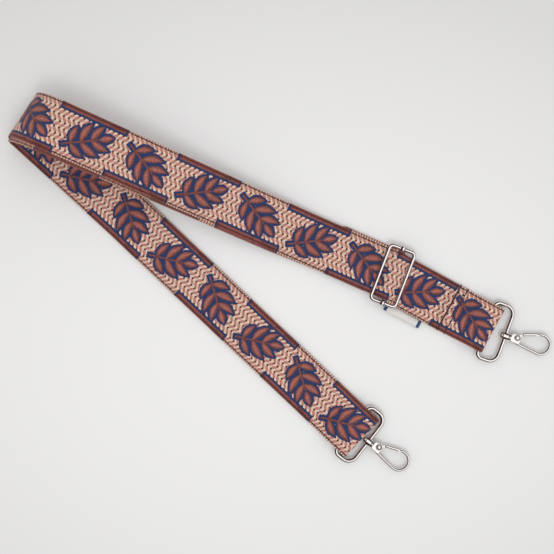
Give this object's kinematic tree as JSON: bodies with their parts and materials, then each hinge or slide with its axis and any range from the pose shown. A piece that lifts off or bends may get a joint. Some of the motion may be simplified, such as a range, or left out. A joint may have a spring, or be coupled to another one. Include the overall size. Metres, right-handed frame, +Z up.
{
  "type": "bag strap",
  "caption": "Detachable webbing bag strap, lying folded in half, with a sliding length adjuster and a swivelling snap hook at each end.",
  "frame": {"origin": "centre of the overall box's footprint, on the table", "axes": "+X to the right and +Y away from the viewer as pictured from above, +Z up off the table"},
  "size_m": [0.4188, 0.2902, 0.0384],
  "materials": {
    "webbing": "woven, matt",
    "label": "satin ribbon",
    "nickel": "bright nickel plating",
    "spring_steel": "drawn wire"
  },
  "bodies": {
    "strap": {"strap_sewn_end": "webbing", "strap_through_run": "webbing", "strap_fold_outer": "webbing", "strap_fold_inner": "webbing", "strap_under_run": "webbing", "strap_lower_bottom": "webbing", "strap_lower_top": "webbing", "strap_clasp_loop": "webbing", "side_label": "label"},
    "slider": {"slider_frame": "nickel", "slider_bar": "nickel", "strap_slider_loop": "webbing"},
    "ring_a": {"d_ring_a": "nickel"},
    "hook_a": {"hook_body_a": "nickel", "swivel_post_a": "nickel", "gate_rivet_a": "nickel", "gate_spring_a": "spring_steel"},
    "gate_a": {"hook_gate_a": "nickel"},
    "ring_b": {"d_ring_b": "nickel"},
    "hook_b": {"hook_body_b": "nickel", "swivel_post_b": "nickel", "gate_rivet_b": "nickel", "gate_spring_b": "spring_steel"},
    "gate_b": {"hook_gate_b": "nickel"}
  },
  "joints": [
    {"name": "slider_slide", "type": "slide", "parent": "strap", "child": "slider", "axis": [0.9157, -0.4019, 0], "range_m": [-0.06, 0.034], "deforming": ["strap_through_run", "strap_under_run"]},
    {"name": "ring_a_swing", "type": "hinge", "parent": "strap", "child": "ring_a", "pos_m": [0.15867, -0.03422, 0.0033], "axis": [0.3461, 0.9382, 0], "range_deg": [-135, 135]},
    {"name": "hook_a_swivel", "type": "hinge", "parent": "ring_a", "child": "hook_a", "pos_m": [0.1735, -0.03969, 0.0033], "axis": [0.9382, -0.3461, 0], "continuous": true},
    {"name": "gate_a_open", "type": "hinge", "parent": "hook_a", "child": "gate_a", "pos_m": [0.18219, -0.04098, 0.0033], "axis": [0, 0, -1], "range_deg": [0, 34], "stiffness_Nm_per_rad": 0.02, "springref_deg": -20.05},
    {"name": "ring_b_swing", "type": "hinge", "parent": "strap", "child": "ring_b", "pos_m": [0.0548, -0.11194, 0.0033], "axis": [0.617, 0.7869, 0], "range_deg": [-135, 135]},
    {"name": "hook_b_swivel", "type": "hinge", "parent": "ring_b", "child": "hook_b", "pos_m": [0.06724, -0.12169, 0.0033], "axis": [0.7869, -0.617, 0], "continuous": true},
    {"name": "gate_b_open", "type": "hinge", "parent": "hook_b", "child": "gate_b", "pos_m": [0.07512, -0.12558, 0.0033], "axis": [0, 0, -1], "range_deg": [0, 34], "stiffness_Nm_per_rad": 0.02, "springref_deg": -20.05}
  ]
}
